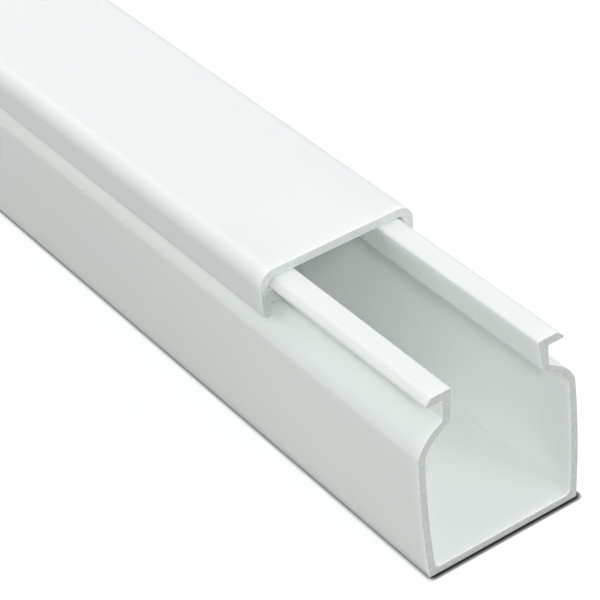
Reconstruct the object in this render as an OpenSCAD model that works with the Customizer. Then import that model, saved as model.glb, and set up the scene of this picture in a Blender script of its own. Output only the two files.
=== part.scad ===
// Mini cable trunking: a channel with necked-in lips, and a cover that clips over the lips and slides along them.
// Millimetres. +X runs along the length towards the open end, +Z points away from the wall.
// The origin is the middle of the base's flat back.

/* [Length] */
// length in which the base and the cover are sold
length = 1000; // [500:50:3000]
// how far the cover is drawn back from the open end of the base
reveal = 34; // [0:1:200]

/* [Base] */
// width over the widest part of the bowed side walls
body_w = 26; // [22:0.5:60]
// height from the flat back to the top of the lips
base_h = 28.8; // [25:0.1:40]
// thickness of the side walls and shoulders
wall_t = 1.25; // [0.9:0.05:1.5]
// thickness of the floor
floor_t = 1.15; // [0.9:0.05:2]
// radius of the inside corners between floor and walls
floor_r = 0.8; // [0.4:0.1:1.5]
// radius of the side walls' outward bow
bow_r = 140; // [100:5:400]
// height at which the bowed walls are widest
bow_z = 13.15; // [11:0.05:15]
// height of the clip part, from the crease between wall and shoulder up to the top of the lips
clip_h = 8.85; // [8.6:0.05:10.3]
// inward lean of the shoulder at the crease, in degrees
shoulder_lean = 18; // [12:1:24]
// outside radius of the shoulder
shoulder_r = 6.45; // [5.8:0.05:7]
// fall of the shoulder from the neck, in degrees
shoulder_slope = 32; // [28:1:36]
// how far the outsides of the necks stand in from the widest part of the walls
neck_inset = 4.4; // [4.2:0.1:5.5]
// outside radius where the shoulder turns up into the neck
neck_r = 0.7; // [0.4:0.1:1]
// thickness of the necks at the lips
neck_t = 1.65; // [1.25:0.05:2]
// how far the lips reach out from the necks
lip_reach = 2.5; // [2:0.05:2.6]
// thickness of the lips
lip_t = 1.4; // [1.1:0.05:1.5]
// width and height of the lips' slanted top edges, over which the cover's hooks ride
lip_bevel = 0.95; // [0.4:0.05:0.95]

/* [Cover] */
// clearance between the cover and the lips, above and below them
clip_gap = 0.15; // [0.1:0.05:0.3]
// clearance between the cover's legs and the lips' tips
side_gap = 0.3; // [0.15:0.05:0.5]
// thickness of the cover's top and legs
cover_t = 1.4; // [1.1:0.05:1.6]
// outside radius of the cover's corners
cover_r = 2.5; // [2:0.1:2.8]
// inward lean of the cover's legs, in degrees
leg_lean = 3; // [0:0.5:3]
// clearance between the legs' lower ends and the shoulders
leg_gap = 0.2; // [0.15:0.05:1]
// radius of the legs' lower outside edges
leg_end_r = 0.8; // [0.3:0.05:1]
// depth of the hooks, from top to underside
hook_h = 2.15; // [1.7:0.05:2.35]
// gap between the hooks' noses and the necks
hook_gap = 0.45; // [0.3:0.05:1.2]
// radius of the hooks' noses
hook_r = 0.8; // [0.4:0.05:0.8]

/* [Hidden] */
$fn = 96;
bow_fn = 1440;
// rounding discs reach this far past the lines they touch, so that each outline closes
tuck = 0.001;
// cutting shapes reach this far past the faces they cut
over = 1;

// half widths, from the middle of the section
body_hw = body_w / 2;
neck_hw = body_hw - neck_inset;
mouth_hw = neck_hw - neck_t;
lip_hw = neck_hw + lip_reach;
cover_hw = lip_hw + side_gap + cover_t;

// centre of the bow, and the crease at which the wall ends on it
bow_c = [body_hw - bow_r, bow_z];
crease_a = asin((base_h - clip_h - bow_z) / bow_r);
crease = bow_c + bow_r * [cos(crease_a), sin(crease_a)];

// centre of the inside corner that touches both the floor and the bowed wall
floor_reach = bow_r - wall_t - floor_r;
floor_a = asin((floor_t + floor_r - bow_z) / floor_reach);
floor_c = bow_c + floor_reach * [cos(floor_a), sin(floor_a)];
floor_touch = bow_c + (bow_r - wall_t) * [cos(floor_a), sin(floor_a)];

// the shoulder's bend, its straight slope and the bend up into the neck
slope_a = 90 - shoulder_slope;
slope_n = [cos(slope_a), sin(slope_a)];
slope_dir = [-slope_n[1], slope_n[0]];
shoulder_c = crease - shoulder_r * [cos(shoulder_lean), sin(shoulder_lean)];
slope_foot = shoulder_c + shoulder_r * slope_n;
neck_start = slope_foot + neck_r * slope_n;
slope_len = (neck_start[0] - neck_hw - neck_r) / slope_n[1];
neck_c = neck_start + slope_len * slope_dir;
lip_under_z = base_h - lip_t;

// the cover sits one clearance above the lips, and its hooks one clearance below them
cover_under_z = base_h + clip_gap;
cover_h = cover_under_z + cover_t;
corner_c = [cover_hw - cover_r, cover_h - cover_r];
lean_n = [cos(leg_lean), -sin(leg_lean)];
lean_dir = [-sin(leg_lean), -cos(leg_lean)];
leg_root = corner_c + (cover_r - cover_t) * lean_n;
leg_len = (leg_gap + (slope_foot - leg_root) * slope_n) / (lean_dir * slope_n);
leg_end_c = corner_c + (cover_r - leg_end_r) * lean_n + (leg_len - leg_end_r) * lean_dir;
hook_top_z = lip_under_z - clip_gap;
hook_under_z = hook_top_z - hook_h;
hook_nose_hw = neck_hw + hook_gap;
hook_root_hw = cover_hw - cover_t / 2;

// a point or an outline of the right side, on the side given by 1 or -1
function at(side, point) = [side * point[0], point[1]];
function outline_at(side, half) =
  side > 0 ? half : [for (i = [len(half) - 1:-1:0]) at(side, half[i])];

// a right side's points, followed by those of the left side
function both_sides(half) = concat(half, outline_at(-1, half));

// rounding disc, once on each side
module discs(centre, r) {
  for (side = [1, -1]) translate(at(side, centre)) circle(r = r + tuck);
}

// space between the two bowed faces of the given radius, from one height up to another
module between_bows(r, from_z, to_z) {
  intersection() {
    translate(at(1, bow_c)) circle(r = r, $fn = bow_fn);
    translate(at(-1, bow_c)) circle(r = r, $fn = bow_fn);
    translate([-body_w, from_z]) square([2 * body_w, to_z - from_z]);
  }
}

// space inside the base's outer faces, closing in over the shoulders to the neck, with its faces set in by one distance
module necked_in(inset, from_z, neck_top) {
  intersection() {
    between_bows(bow_r - inset, from_z, base_h + over);
    union() {
      translate([-body_w, 0]) square([2 * body_w, shoulder_c[1]]);
      discs(shoulder_c, shoulder_r - inset);
      difference() {
        polygon(both_sides(concat(
          [
            [shoulder_c[0], bow_z],
            shoulder_c,
            shoulder_c + (shoulder_r - inset) * slope_n,
            neck_c - (neck_r + inset) * slope_n,
            [neck_hw - inset, neck_c[1]]
          ],
          neck_top
        )));
        discs(neck_c, neck_r + inset);
      }
    }
  }
}

// outside of the base below its lips, as if it were solid
module base_outside() {
  necked_in(0, 0, [[neck_hw, base_h]]);
}

// hollow of the base, open at the mouth between the lips
module base_hollow() {
  difference() {
    necked_in(wall_t, floor_t, [[mouth_hw, lip_under_z], [mouth_hw, base_h + over]]);
    for (side = [1, -1]) floor_corner(side);
  }
}

// what is left in the corner of the floor outside its rounding
module floor_corner(side) {
  difference() {
    polygon(outline_at(side, [
      [floor_c[0], floor_t - over],
      [body_hw, floor_t - over],
      floor_touch + [over, 0],
      floor_touch,
      floor_c
    ]));
    discs(floor_c, floor_r);
  }
}

// both lips, joined across the mouth
module lips() {
  polygon(both_sides([
    [lip_hw, lip_under_z],
    [lip_hw, base_h - lip_bevel],
    [lip_hw - lip_bevel, base_h]
  ]));
}

module base_section() {
  difference() {
    union() {
      base_outside();
      lips();
    }
    base_hollow();
  }
}

// outside of the cover, as if it were solid
module cover_outside() {
  polygon(both_sides([
    leg_end_c + leg_end_r * lean_dir + (leg_end_r - cover_t - over) * lean_n,
    leg_end_c + leg_end_r * lean_dir,
    leg_end_c + leg_end_r * lean_n,
    corner_c + cover_r * lean_n,
    [corner_c[0], cover_h]
  ]));
  discs(corner_c, cover_r);
  discs(leg_end_c, leg_end_r);
}

// hollow of the cover between its legs
module cover_hollow() {
  polygon(both_sides([
    leg_root + (leg_len + over) * lean_dir,
    leg_root,
    [corner_c[0], cover_under_z]
  ]));
  discs(corner_c, cover_r - cover_t);
}

// hook that reaches in from one leg under the lip
module hook(side) {
  polygon(outline_at(side, [
    [hook_root_hw, hook_under_z],
    [hook_root_hw, hook_top_z],
    [hook_nose_hw + hook_r, hook_top_z],
    [hook_nose_hw, hook_top_z - hook_r],
    [hook_nose_hw, hook_under_z + hook_r],
    [hook_nose_hw + hook_r, hook_under_z]
  ]));
}

module cover_section() {
  difference() {
    cover_outside();
    cover_hollow();
  }
  for (side = [1, -1]) hook(side);
  discs([hook_nose_hw + hook_r, hook_top_z - hook_r], hook_r);
  discs([hook_nose_hw + hook_r, hook_under_z + hook_r], hook_r);
}

// a section drawn in Y and Z, run along the length
module along_x(start) {
  translate([start, 0, 0]) rotate([90, 0, 90]) linear_extrude(height = length) children();
}

module base() {
  color([0.93, 0.94, 0.93]) along_x(-length / 2) base_section();
}

module cover() {
  color([0.95, 0.96, 0.95]) along_x(-length / 2 - reveal) cover_section();
}

base();
cover();
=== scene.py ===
"""Mini cable trunking in white PVC: a necked channel and its clip-on cover.

The cover is drawn back from one end, where the open channel shows.
"""

import logging
import math
from dataclasses import dataclass, field
from enum import Enum

import bmesh
import bpy
from mathutils import Matrix, Quaternion, Vector
from mathutils.geometry import intersect_sphere_sphere_2d


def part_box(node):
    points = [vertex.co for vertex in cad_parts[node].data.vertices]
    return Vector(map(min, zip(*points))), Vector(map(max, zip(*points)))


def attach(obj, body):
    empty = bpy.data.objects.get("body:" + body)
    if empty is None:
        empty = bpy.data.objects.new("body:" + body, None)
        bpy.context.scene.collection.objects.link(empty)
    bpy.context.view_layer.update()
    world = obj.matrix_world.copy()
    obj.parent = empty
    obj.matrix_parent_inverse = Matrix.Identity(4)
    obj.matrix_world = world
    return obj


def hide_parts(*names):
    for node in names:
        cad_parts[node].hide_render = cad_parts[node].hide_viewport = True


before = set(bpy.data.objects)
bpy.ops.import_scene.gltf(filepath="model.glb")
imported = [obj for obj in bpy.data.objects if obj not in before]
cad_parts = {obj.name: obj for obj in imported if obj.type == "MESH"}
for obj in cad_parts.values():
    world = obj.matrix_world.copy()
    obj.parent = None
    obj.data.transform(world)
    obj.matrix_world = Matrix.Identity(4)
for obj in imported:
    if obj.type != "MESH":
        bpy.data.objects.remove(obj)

LOG = logging.getLogger("cable_trunking")

Triple = tuple[float, float, float]
Colour = Triple
Span = tuple[float, float]
Socket = bpy.types.NodeSocket

MM = 0.001
# points nearer than this are one point
TOUCHING = 1e-7
# the most that one edge of an arc turns
ARC_STEP = math.radians(4)
ROUNDING_STEPS = 8
# a face whose normal leans further towards the length is a saw cut, or no longer plain skin
CUT_LEAN = 0.999
SKIN_LEAN = 0.01
# most of a noise pattern's values lie between these two
NOISE_SPAN: Span = (0.3, 0.7)
PVC_IOR = 1.53
BLACK: Colour = (0.0, 0.0, 0.0)
WHITE: Colour = (1.0, 1.0, 1.0)


class Surface(Enum):
    """Which finish a face of an extrusion carries: its value is the material slot."""

    SKIN = 0
    SAWN = 1
    EDGE = 2


class LampTint(Enum):
    """The slight tint of a softbox: its value is the light's colour."""

    GREENISH = (0.97, 1.0, 0.962)
    GREENER = (0.935, 1.0, 0.93)
    ROSY = (1.0, 0.985, 0.985)
    BLUISH = (0.95, 0.97, 1.0)
    BLUER = (0.935, 0.965, 1.0)


def polar(centre: Vector, radius: float, angle: float) -> Vector:
    """Returns the point of the section at that radius and angle (in radians) from a centre."""
    return centre + radius * Vector((math.cos(angle), math.sin(angle)))


class NodeSheet:
    """The node tree of a material or world, with short calls to add and join its nodes."""

    def __init__(self, owner: bpy.types.Material | bpy.types.World) -> None:
        """Clears the owner's node tree, ready to be filled.

        Args:
            owner: The material or world that the nodes belong to.
        """
        owner.use_nodes = True
        self.tree = owner.node_tree
        self.tree.nodes.clear()

    def add(self, kind: str, inputs: dict | None = None, **settings: object) -> bpy.types.Node:
        """Adds one node.

        Args:
            kind: The node's type name, without its ShaderNode prefix.
            inputs: Values or source sockets, by the name or number of the input.
            **settings: The node's own properties.

        Returns:
            The new node.
        """
        node = self.tree.nodes.new("ShaderNode" + kind)
        for name, value in settings.items():
            setattr(node, name, value)
        for name, value in (inputs or {}).items():
            if isinstance(value, Socket):
                self.tree.links.new(value, node.inputs[name])
            else:
                node.inputs[name].default_value = value
        return node

    def combine(self, operation: str, first: Socket, second: Socket | float) -> Socket:
        """Returns the result of one Math node on two values."""
        return self.add("Math", {0: first, 1: second}, operation=operation).outputs[0]

    def noise(self, scale: Triple, octaves: float) -> Socket:
        """Adds a noise pattern on the Object coordinates.

        Args:
            scale: Patches in a metre, along each axis.
            octaves: How many finer octaves the noise has.

        Returns:
            The noise value, from 0 to 1.
        """
        place = self.add("TexCoord")
        mapping = self.add("Mapping", {"Vector": place.outputs["Object"], "Scale": scale})
        pattern = self.add(
            "TexNoise", {"Vector": mapping.outputs["Vector"], "Scale": 1.0, "Detail": octaves}
        )
        return pattern.outputs["Fac"]

    def even_noise(self, size: float, octaves: float) -> Socket:
        """Returns a noise pattern whose patches have the same size along all three axes."""
        return self.noise((1 / size, 1 / size, 1 / size), octaves)

    def spread(self, value: Socket, low: float, high: float) -> Socket:
        """Stretches the middle of a noise pattern over a range.

        Args:
            value: The noise value.
            low: What the lower end of the noise's usual span becomes.
            high: What the upper end becomes.

        Returns:
            The stretched value.
        """
        least, most = NOISE_SPAN
        taken = {"Value": value, "From Min": least, "From Max": most}
        ranged = self.add("MapRange", {**taken, "To Min": low, "To Max": high})
        return ranged.outputs["Result"]

    def tint(self, value: Socket, low: Colour, high: Colour) -> Socket:
        """Blends two colours by a value.

        Args:
            value: The blend, from 0 to 1.
            low: The colour at 0.
            high: The colour at 1.

        Returns:
            The blended colour.
        """
        mix = self.add("Mix", {0: value, 6: (*low, 1.0), 7: (*high, 1.0)}, data_type="RGBA")
        return mix.outputs[2]

    def bump(
        self, height: Socket, depth: float, strength: float, under: Socket | None = None
    ) -> Socket:
        """Adds fine relief.

        Args:
            height: The relief's height, from 0 to 1.
            depth: What a height of 1 stands for, in metres.
            strength: How much of the relief shows.
            under: A coarser relief that this one lies on.

        Returns:
            The changed normal.
        """
        node = self.add("Bump", {"Height": height, "Distance": depth, "Strength": strength})
        if under is not None:
            self.tree.links.new(under, node.inputs["Normal"])
        return node.outputs["Normal"]

    def seen(self) -> Socket:
        """Tells the rays of the picture from those that carry light.

        Returns:
            1 for what the camera sees directly, in a gloss or through a clear piece, and 0 for
            diffuse light.
        """
        rays = self.add("LightPath").outputs
        reflected = self.combine("MAXIMUM", rays["Is Glossy Ray"], rays["Is Transmission Ray"])
        return self.combine("MAXIMUM", rays["Is Camera Ray"], reflected)


@dataclass(frozen=True)
class Finish:
    """A surface of the PVC, in two near tones."""

    name: str
    colour: Colour
    shade: Colour

    def make(self) -> bpy.types.Material:
        """Makes the finish.

        Returns:
            The material.
        """
        material = bpy.data.materials.new(self.name)
        sheet = NodeSheet(material)
        shader = sheet.add("BsdfPrincipled", {**self.sockets(sheet), "IOR": PVC_IOR})
        sheet.add("OutputMaterial", {"Surface": shader.outputs[0]})
        return material

    def sockets(self, sheet: NodeSheet) -> dict:
        """Returns the shader's inputs by name. Each finish has its own."""
        raise NotImplementedError

    def tones(self, sheet: NodeSheet, pattern: Socket) -> Socket:
        """Returns the two tones, blended by a noise pattern."""
        return sheet.tint(sheet.spread(pattern, 0.0, 1.0), self.shade, self.colour)


@dataclass(frozen=True)
class ExtrudedSkin(Finish):
    """Satin PVC as it leaves the die, with fine lines along the length.

    A little light shines through the thin walls.
    """

    roughness: Span = (0.4, 0.5)
    line_pitch: float = 0.45 * MM
    line_breaks: float = 0.6
    line_depth: float = 0.012 * MM
    line_show: float = 0.6
    patch: float = 14 * MM
    patch_length: float = 35 * MM
    grain: float = MM / 2.2
    grain_depth: float = 0.004 * MM
    grain_show: float = 0.5
    light_depth: float = 1.2 * MM

    def sockets(self, sheet: NodeSheet) -> dict:
        """Draws the die lines, the cloudy patches and the fine grain.

        Args:
            sheet: The material's nodes.

        Returns:
            The shader's inputs by name.
        """
        across = 1 / self.line_pitch
        lines = sheet.noise((self.line_breaks, across, across), octaves=4.0)
        clouds = (1 / self.patch_length, 1 / self.patch, 1 / self.patch)
        patches = sheet.noise(clouds, octaves=5.0)
        grain = sheet.even_noise(self.grain, octaves=2.0)
        relief = sheet.bump(lines, self.line_depth, self.line_show)
        return {
            "Base Color": self.tones(sheet, patches),
            "Roughness": sheet.spread(lines, *self.roughness),
            "Normal": sheet.bump(grain, self.grain_depth, self.grain_show, relief),
            "Subsurface Weight": 1.0,
            "Subsurface Radius": (1.0, 1.0, 1.0),
            "Subsurface Scale": self.light_depth,
        }


@dataclass(frozen=True)
class SawnFace(Finish):
    """A saw cut through PVC: dull and finely speckled, with faint strokes of the blade."""

    roughness: Span = (0.6, 0.8)
    speck: float = 0.32 * MM
    speck_show: float = 0.4
    stroke: float = 0.2 * MM
    stroke_length: float = 2 * MM
    stroke_share: float = 0.25
    stroke_show: float = 0.3
    depth: float = 0.02 * MM

    def sockets(self, sheet: NodeSheet) -> dict:
        """Draws the specks and the strokes of the blade.

        Args:
            sheet: The material's nodes.

        Returns:
            The shader's inputs by name.
        """
        specks = sheet.even_noise(self.speck, octaves=2.0)
        strokes = sheet.noise((1.0, 1 / self.stroke_length, 1 / self.stroke), octaves=2.0)
        shares = {0: self.stroke_share, 2: specks, 3: strokes}
        both = sheet.add("Mix", shares, data_type="FLOAT")
        relief = sheet.bump(strokes, self.depth, self.stroke_show)
        return {
            "Base Color": self.tones(sheet, both.outputs[0]),
            "Roughness": sheet.spread(specks, *self.roughness),
            "Normal": sheet.bump(specks, self.depth, self.speck_show, relief),
        }


@dataclass(frozen=True)
class WhitenedEdge(Finish):
    """The edge that a saw leaves on PVC, whitened where the plastic was pulled."""

    roughness: Span = (0.3, 0.5)
    tear: float = 0.5 * MM
    tear_depth: float = 0.02 * MM
    tear_show: float = 0.4

    def sockets(self, sheet: NodeSheet) -> dict:
        """Draws the small tears along the edge.

        Args:
            sheet: The material's nodes.

        Returns:
            The shader's inputs by name.
        """
        tears = sheet.even_noise(self.tear, octaves=3.0)
        return {
            "Base Color": self.tones(sheet, tears),
            "Roughness": sheet.spread(tears, *self.roughness),
            "Normal": sheet.bump(tears, self.tear_depth, self.tear_show),
        }


class SectionPen:
    """Draws the right half of a section, corner by corner, as a chain of edges."""

    def __init__(self, start: Vector) -> None:
        """Puts the pen down.

        Args:
            start: A point of the section, on its middle line.
        """
        self.mesh = bmesh.new()
        self.tip = self.mesh.verts.new((0.0, *start))
        self.corners: dict[float, list[Vector]] = {}

    def line(self, point: Vector, rounding: float = 0.0) -> None:
        """Draws a straight run.

        Args:
            point: Where the run ends.
            rounding: Radius that the corner there gets when the section is filled.
        """
        made = bmesh.ops.extrude_vert_indiv(self.mesh, verts=[self.tip])
        self.tip = made["verts"][0]
        step = Vector((0.0, *point)) - self.tip.co
        bmesh.ops.translate(self.mesh, verts=[self.tip], vec=step)
        if rounding > 0:
            self.corners.setdefault(rounding, []).append(self.tip.co.copy())

    def bend(self, centre: Vector, angle: float, step: float = ARC_STEP) -> None:
        """Draws an arc from where the pen is.

        Args:
            centre: The arc's centre.
            angle: How far it turns, in radians, from +Y towards +Z.
            step: The most that one edge of the arc turns.
        """
        made = bmesh.ops.spin(
            self.mesh,
            geom=[self.tip],
            cent=Vector((0.0, *centre)),
            axis=Vector((1.0, 0.0, 0.0)),
            angle=angle,
            steps=max(2, math.ceil(abs(angle) / step)),
        )
        ends = made["geom_last"]
        self.tip = next(part for part in ends if isinstance(part, bmesh.types.BMVert))

    def fill(self) -> bmesh.types.BMesh:
        """Mirrors the half, fills the closed outline and rounds its marked corners.

        Returns:
            The section as one flat face.
        """
        bmesh.ops.mirror(
            self.mesh,
            geom=[*self.mesh.verts, *self.mesh.edges],
            matrix=Matrix.Identity(4),
            axis="Y",
            merge_dist=TOUCHING,
        )
        bmesh.ops.remove_doubles(self.mesh, verts=self.mesh.verts[:], dist=TOUCHING)
        bmesh.ops.edgeloop_fill(self.mesh, edges=self.mesh.edges[:])
        for rounding, places in self.corners.items():
            bmesh.ops.bevel(
                self.mesh,
                geom=[vert for vert in self.mesh.verts if self.marked(vert, places)],
                offset=rounding,
                segments=ROUNDING_STEPS,
                profile=0.5,
                affect="VERTICES",
                material=-1,
            )
        return self.mesh

    @staticmethod
    def marked(vert: bmesh.types.BMVert, places: list[Vector]) -> bool:
        """Returns whether a corner, or its mirror image, is at one of the marked places."""
        right = Vector((0.0, abs(vert.co.y), vert.co.z))
        return any((right - place).length < TOUCHING for place in places)


@dataclass
class Extrusion:
    """A length of PVC section: drawn as a flat face, run along the length and sawn at both ends."""

    node: str
    skin: ExtrudedSkin
    sawn: SawnFace
    edge: WhitenedEdge
    saw_chamfer: float = 0.08 * MM
    saw_chamfer_steps: int = 2
    crisp: float = math.radians(13)
    low: Vector = field(init=False)
    high: Vector = field(init=False)

    def __post_init__(self) -> None:
        """Takes the piece's place and size from its node."""
        self.low, self.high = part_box(self.node)

    def section(self) -> bmesh.types.BMesh:
        """Returns the section as a flat face. Each extrusion draws its own."""
        raise NotImplementedError

    def build(self) -> None:
        """Makes the piece, which rides on its body in place of its node."""
        mesh = self.section()
        self.run_along(mesh)
        self.chamfer_cuts(mesh)
        self.sort_faces(mesh)
        data = bpy.data.meshes.new("trunking_" + self.node)
        mesh.to_mesh(data)
        mesh.free()
        for finish in (self.skin, self.sawn, self.edge):
            data.materials.append(finish.make())
        data.set_sharp_from_angle(angle=self.crisp)
        piece = bpy.data.objects.new("trunking_" + self.node, data)
        even = piece.modifiers.new("even_normals", "WEIGHTED_NORMAL")
        even.keep_sharp = True
        bpy.context.scene.collection.objects.link(piece)
        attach(piece, self.node)
        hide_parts(self.node)
        LOG.info("%s: %d faces", piece.name, len(data.polygons))

    def run_along(self, mesh: bmesh.types.BMesh) -> None:
        """Runs the flat section along the whole length.

        Args:
            mesh: The section.
        """
        bmesh.ops.translate(mesh, verts=mesh.verts[:], vec=(self.low.x, 0.0, 0.0))
        made = bmesh.ops.extrude_face_region(mesh, geom=mesh.faces[:], use_keep_orig=True)
        moved = [part for part in made["geom"] if isinstance(part, bmesh.types.BMVert)]
        bmesh.ops.translate(mesh, verts=moved, vec=(self.high.x - self.low.x, 0.0, 0.0))
        bmesh.ops.recalc_face_normals(mesh, faces=mesh.faces[:])

    def chamfer_cuts(self, mesh: bmesh.types.BMesh) -> None:
        """Takes the sharpness off the outlines of both saw cuts.

        Args:
            mesh: The section, run along the length.
        """
        bmesh.ops.bevel(
            mesh,
            geom=[
                edge
                for edge in mesh.edges
                if abs(edge.verts[0].co.x - edge.verts[1].co.x) < TOUCHING
            ],
            offset=self.saw_chamfer,
            segments=self.saw_chamfer_steps,
            profile=0.5,
            affect="EDGES",
            material=-1,
        )

    def sort_faces(self, mesh: bmesh.types.BMesh) -> None:
        """Gives each face its finish, and smooths all but the flat cuts.

        Args:
            mesh: The finished piece.
        """
        mesh.normal_update()
        for face in mesh.faces:
            lean = abs(face.normal.x)
            surface = Surface.EDGE if lean > SKIN_LEAN else Surface.SKIN
            if lean > CUT_LEAN:
                surface = Surface.SAWN
            face.material_index = surface.value
            face.smooth = surface is not Surface.SAWN


@dataclass
class Channel(Extrusion):
    """The base: flat back, bowed walls, shoulders that turn in, and necks with outward lips."""

    wall: float = 1.25 * MM
    floor: float = 1.15 * MM
    floor_round: float = 0.8 * MM
    bow: float = 140 * MM
    bow_height: float = 13.15 * MM
    bow_step: float = math.radians(0.5)
    clip_height: float = 8.85 * MM
    shoulder_lean: float = math.radians(18)
    shoulder_round: float = 6.45 * MM
    shoulder_fall: float = math.radians(32)
    neck_inset: float = 4.4 * MM
    neck_round: float = 0.7 * MM
    neck: float = 1.65 * MM
    lip_reach: float = 2.5 * MM
    lip: float = 1.4 * MM
    lip_bevel: float = 0.95 * MM
    foot_round: float = 0.18 * MM
    lip_edge_round: float = 0.18 * MM
    lip_top_round: float = 0.35 * MM
    mouth_round: float = 0.35 * MM

    def section(self) -> bmesh.types.BMesh:
        """Draws the channel's section, up the outside and back down the inside.

        Returns:
            The section as a flat face.
        """
        half, height = self.high.y, self.high.z
        neck_half = half - self.neck_inset
        lip_half = neck_half + self.lip_reach
        mouth_half = neck_half - self.neck
        lip_under = height - self.lip
        bow_mid = Vector((half - self.bow, self.bow_height))
        foot = math.asin(-self.bow_height / self.bow)
        crease = math.asin((height - self.clip_height - self.bow_height) / self.bow)
        slope = math.pi / 2 - self.shoulder_fall
        normal = polar(Vector((0, 0)), 1.0, slope)
        crease_end = polar(bow_mid, self.bow, crease)
        shoulder_mid = polar(crease_end, -self.shoulder_round, self.shoulder_lean)
        bend_start = polar(shoulder_mid, self.shoulder_round + self.neck_round, slope)
        run = (bend_start.x - neck_half - self.neck_round) / normal.y
        neck_mid = bend_start + run * Vector((-normal.y, normal.x))
        floor_reach = self.bow - self.wall - self.floor_round
        floor_rise = self.floor + self.floor_round - self.bow_height
        floor_turn = math.asin(floor_rise / floor_reach)
        floor_mid = polar(bow_mid, floor_reach, floor_turn)
        inner_round, inner_bow = self.shoulder_round - self.wall, self.bow - self.wall
        crossings = intersect_sphere_sphere_2d(shoulder_mid, inner_round, bow_mid, inner_bow)
        inner_crease = max(crossings, key=lambda point: point.y)
        shoulder_end = inner_crease - shoulder_mid
        wall_start = inner_crease - bow_mid

        pen = SectionPen(Vector((0.0, 0.0)))
        pen.line(polar(bow_mid, self.bow, foot), self.foot_round)
        pen.bend(bow_mid, crease - foot, self.bow_step)
        pen.bend(shoulder_mid, slope - self.shoulder_lean)
        pen.line(polar(neck_mid, -self.neck_round, slope))
        pen.bend(neck_mid, -slope)
        pen.line(Vector((neck_half, lip_under)), self.lip_edge_round)
        pen.line(Vector((lip_half, lip_under)), self.lip_edge_round)
        pen.line(Vector((lip_half, height - self.lip_bevel)), self.lip_edge_round)
        pen.line(Vector((lip_half - self.lip_bevel, height)), self.lip_top_round)
        pen.line(Vector((mouth_half, height)), self.mouth_round)
        pen.line(Vector((mouth_half, lip_under)))
        pen.line(Vector((neck_half - self.wall, neck_mid.y)))
        pen.bend(neck_mid, slope)
        pen.line(polar(shoulder_mid, inner_round, slope))
        pen.bend(shoulder_mid, math.atan2(shoulder_end.y, shoulder_end.x) - slope)
        inner_turn = floor_turn - math.atan2(wall_start.y, wall_start.x)
        pen.bend(bow_mid, inner_turn, self.bow_step)
        pen.bend(floor_mid, -math.pi / 2 - floor_turn)
        pen.line(Vector((0.0, self.floor)))
        return pen.fill()


@dataclass
class Cover(Extrusion):
    """The cover: flat top, rounded corners, and legs with a hook that holds under each lip."""

    thick: float = 1.4 * MM
    corner_round: float = 2.5 * MM
    lean: float = math.radians(3)
    leg_round: float = 0.8 * MM
    hook_top: float = 27.25 * MM
    hook_depth: float = 2.15 * MM
    hook_nose: float = 9.05 * MM
    hook_round: float = 0.8 * MM
    root_round: float = 0.15 * MM

    def section(self) -> bmesh.types.BMesh:
        """Draws the cover's section, down the outside and back up the inside.

        Returns:
            The section as a flat face.
        """
        half, height = self.high.y, self.high.z
        under = height - self.thick
        corner = Vector((half - self.corner_round, height - self.corner_round))
        out = polar(Vector((0, 0)), 1.0, -self.lean)
        down = polar(Vector((0, 0)), 1.0, -self.lean - math.pi / 2)
        root = corner + (self.corner_round - self.thick) * out
        leg_foot = root + (root.y - self.low.z) / -down.y * down
        leg_end = leg_foot + (self.thick - self.leg_round) * out - self.leg_round * down
        hook_under = self.hook_top - self.hook_depth
        nose = self.hook_nose + self.hook_round

        pen = SectionPen(Vector((0.0, height)))
        pen.line(Vector((corner.x, height)))
        pen.bend(corner, -math.pi / 2 - self.lean)
        pen.line(leg_end + self.leg_round * out)
        pen.bend(leg_end, -math.pi / 2)
        pen.line(leg_foot, self.root_round)
        pen.line(root + (root.y - hook_under) / -down.y * down, self.root_round)
        pen.line(Vector((nose, hook_under)))
        pen.bend(Vector((nose, hook_under + self.hook_round)), -math.pi / 2)
        pen.line(Vector((self.hook_nose, self.hook_top - self.hook_round)))
        pen.bend(Vector((nose, self.hook_top - self.hook_round)), -math.pi / 2)
        pen.line(root + (root.y - self.hook_top) / -down.y * down, self.root_round)
        pen.line(root)
        pen.bend(corner, math.pi / 2 + self.lean)
        pen.line(Vector((0.0, under)))
        return pen.fill()


@dataclass(frozen=True)
class SoftLamp:
    """One round softbox, aimed at the open end."""

    name: str
    direction: Triple
    power: float
    tint: LampTint
    size: float = 2.0
    distance: float = 3.0

    def hang(self, target: Vector) -> None:
        """Hangs the lamp.

        Args:
            target: The point that it is aimed at.
        """
        light = bpy.data.lights.new(self.name, "AREA")
        light.shape = "DISK"
        light.size = self.size
        light.energy = self.power
        light.color = self.tint.value
        lamp = bpy.data.objects.new(self.name, light)
        away = Vector(self.direction).normalized()
        lamp.location = target + self.distance * away
        lamp.rotation_mode = "QUATERNION"
        lamp.rotation_quaternion = away.to_track_quat("Z", "Y")
        bpy.context.scene.collection.objects.link(lamp)


LAMPS: tuple[SoftLamp, ...] = (
    SoftLamp(
        "camera_softbox", (0.727, -0.355, 0.588), 189.2, LampTint.GREENISH, size=1.2, distance=6.0
    ),
    SoftLamp("front_softbox", (0.908, 0.330, 0.259), 31.0, LampTint.ROSY, size=1.0),
    SoftLamp("left_softbox", (-0.394, -0.630, 0.669), 4.1, LampTint.GREENISH),
    SoftLamp("low_left_softbox", (-0.5, -0.785, 0.366), 15.3, LampTint.GREENER),
    SoftLamp("right_softbox", (0.0, 0.819, 0.574), 23.8, LampTint.BLUISH),
    SoftLamp("back_softbox", (-0.906, 0.0, 0.423), 19.8, LampTint.BLUISH),
    SoftLamp("high_back_softbox", (-0.470, -0.171, 0.866), 9.8, LampTint.BLUER),
    SoftLamp("top_softbox", (0.242, 0.242, 0.940), 15.8, LampTint.BLUER),
)


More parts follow.
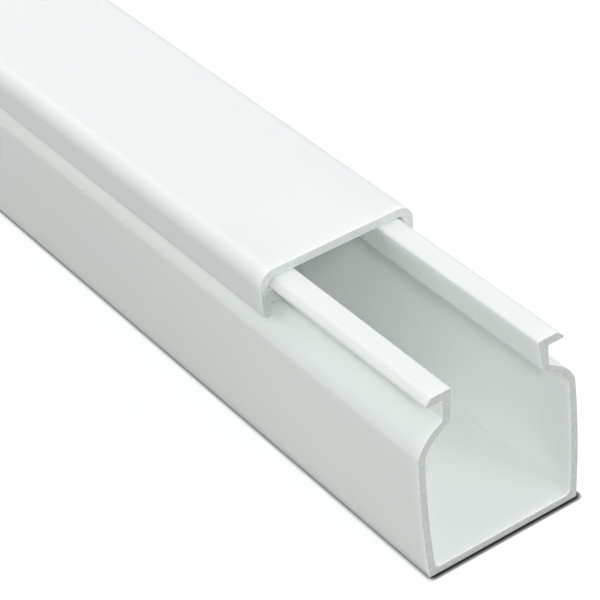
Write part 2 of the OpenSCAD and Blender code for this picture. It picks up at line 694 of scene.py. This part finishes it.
@dataclass
class Studio:
    """The plain floor, the white surround and the soft lamps."""

    floor_size: float = 12.0
    floor_drop: float = 0.05 * MM
    floor_tone: float = 0.45
    floor_glow: float = 0.62
    # from the first distance to the second, the floor fades to plain white
    floor_fade: Span = (1.7, 3.0)
    # painted contact shadow: how near the object has to be to darken the floor, how much, and from
    # which side it is taken to be lit
    contact: float = 0.9 * MM
    contact_depth: float = 6.0
    contact_light: Triple = (-0.45, -0.64, 0.62)
    contact_samples: int = 16
    fill: float = 0.04
    fill_colour: Colour = (0.97, 1.0, 0.99)
    target: Triple = (0.47, 0.0, 0.01)
    lamps: tuple[SoftLamp, ...] = LAMPS

    def build(self) -> None:
        """Makes the floor, the surround and the lamps."""
        self.make_floor()
        self.make_surround()
        for lamp in self.lamps:
            lamp.hang(Vector(self.target))
        LOG.info("studio ready: %d lamps", len(self.lamps))

    def make_floor(self) -> None:
        """Lays the floor just below the object."""
        mesh = bmesh.new()
        bmesh.ops.create_grid(mesh, x_segments=1, y_segments=1, size=self.floor_size / 2)
        bmesh.ops.translate(mesh, verts=mesh.verts[:], vec=(0.0, 0.0, -self.floor_drop))
        data = bpy.data.meshes.new("studio_floor")
        mesh.to_mesh(data)
        mesh.free()
        data.materials.append(self.floor_finish())
        floor = bpy.data.objects.new("studio_floor", data)
        bpy.context.scene.collection.objects.link(floor)

    def floor_finish(self) -> bpy.types.Material:
        """Makes the floor white to the camera, apart from the lamps' shadow and a painted contact
        shadow.

        Returns:
            The material.
        """
        material = bpy.data.materials.new("pale_floor")
        sheet = NodeSheet(material)
        # painted contact shadow: the occlusion darkens the floor's colour and glow near the object,
        # as if lit from the contact_light side
        light = sheet.add("CombineXYZ", dict(enumerate(self.contact_light)))
        touch = sheet.add(
            "AmbientOcclusion",
            {"Distance": self.contact, "Normal": light.outputs[0]},
            samples=self.contact_samples,
        )
        shade = sheet.combine("POWER", touch.outputs["AO"], self.contact_depth)
        tone = (self.floor_tone, self.floor_tone, self.floor_tone)
        lit = sheet.add("BsdfDiffuse", {"Color": sheet.tint(shade, BLACK, tone)})
        place = sheet.add("TexCoord")
        away = sheet.add("VectorMath", {0: place.outputs["Object"]}, operation="LENGTH")
        near, far = self.floor_fade
        fade = {"Value": away.outputs["Value"], "From Min": near, "From Max": far}
        glow = sheet.add("MapRange", {**fade, "To Min": self.floor_glow, "To Max": 1.0})
        level = sheet.combine("MULTIPLY", shade, glow.outputs["Result"])
        strength = sheet.combine("MULTIPLY", level, sheet.seen())
        white = sheet.add("Emission", {"Color": (*WHITE, 1.0), "Strength": strength})
        both = sheet.add("AddShader", {0: lit.outputs[0], 1: white.outputs[0]})
        sheet.add("OutputMaterial", {"Surface": both.outputs[0]})
        return material

    def make_surround(self) -> None:
        """Makes the surround: white to the camera, and an even fill light on the object."""
        world = bpy.data.worlds.new("studio_surround")
        bpy.context.scene.world = world
        sheet = NodeSheet(world)
        even = {"Color": (*self.fill_colour, 1.0), "Strength": self.fill}
        fill = sheet.add("Background", even)
        white = sheet.add("Background", {"Color": (*WHITE, 1.0), "Strength": 1.0})
        both = sheet.add(
            "MixShader", {0: sheet.seen(), 1: fill.outputs[0], 2: white.outputs[0]}
        )
        sheet.add("OutputWorld", {"Surface": both.outputs[0]})


@dataclass
class Viewpoint:
    """The camera, at the photograph's viewing angle."""

    place: Triple = (0.6995, -0.1494, 0.22255)
    azimuth: float = math.radians(31.43)
    elevation: float = math.radians(36.05)
    roll: float = math.radians(-6.12)
    lens: float = 150.76
    nearest: float = 0.01

    def build(self) -> None:
        """Makes the camera and gives it to the scene."""
        level = math.cos(self.elevation)
        ahead = Vector(
            (
                -math.cos(self.azimuth) * level,
                math.sin(self.azimuth) * level,
                -math.sin(self.elevation),
            )
        )
        data = bpy.data.cameras.new("viewpoint")
        data.lens = self.lens
        data.clip_start = self.nearest
        camera = bpy.data.objects.new("viewpoint", data)
        camera.location = self.place
        camera.rotation_mode = "QUATERNION"
        tilt = Quaternion((0.0, 0.0, 1.0), self.roll)
        camera.rotation_quaternion = ahead.to_track_quat("-Z", "Y") @ tilt
        bpy.context.scene.collection.objects.link(camera)
        bpy.context.scene.camera = camera


def main() -> None:
    """Builds the trunking, the studio and the camera."""
    logging.basicConfig(level=logging.INFO, format="%(name)s: %(message)s")
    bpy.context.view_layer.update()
    bpy.context.scene.view_settings.view_transform = "Standard"
    edge = WhitenedEdge("whitened_edge", (0.88, 0.9, 0.89), (0.78, 0.81, 0.8))
    base_skin = ExtrudedSkin("channel_pvc", (0.903, 0.946, 0.918), (0.891, 0.934, 0.905))
    # the sawn faces' darker grey is partly the rough cut's own dull tone and partly painted shade,
    # set dark to offset the strong camera lamp's light on the cuts
    base_sawn = SawnFace("channel_sawn", (0.57, 0.595, 0.58), (0.42, 0.445, 0.43))
    cover_skin = ExtrudedSkin("cover_pvc", (0.915, 0.95, 0.957), (0.903, 0.939, 0.944))
    # the cover's cut is a lighter copy of the channel's sawn finish: painted light, standing in for
    # the extra light that falls on it from above
    cover_sawn_painted_light = SawnFace("cover_sawn_painted_light", (0.65, 0.675, 0.66), (0.5, 0.525, 0.51))
    Channel("base", base_skin, base_sawn, edge).build()
    Cover("cover", cover_skin, cover_sawn_painted_light, edge).build()
    Studio().build()
    Viewpoint().build()


if __name__ == "__main__":
    main()
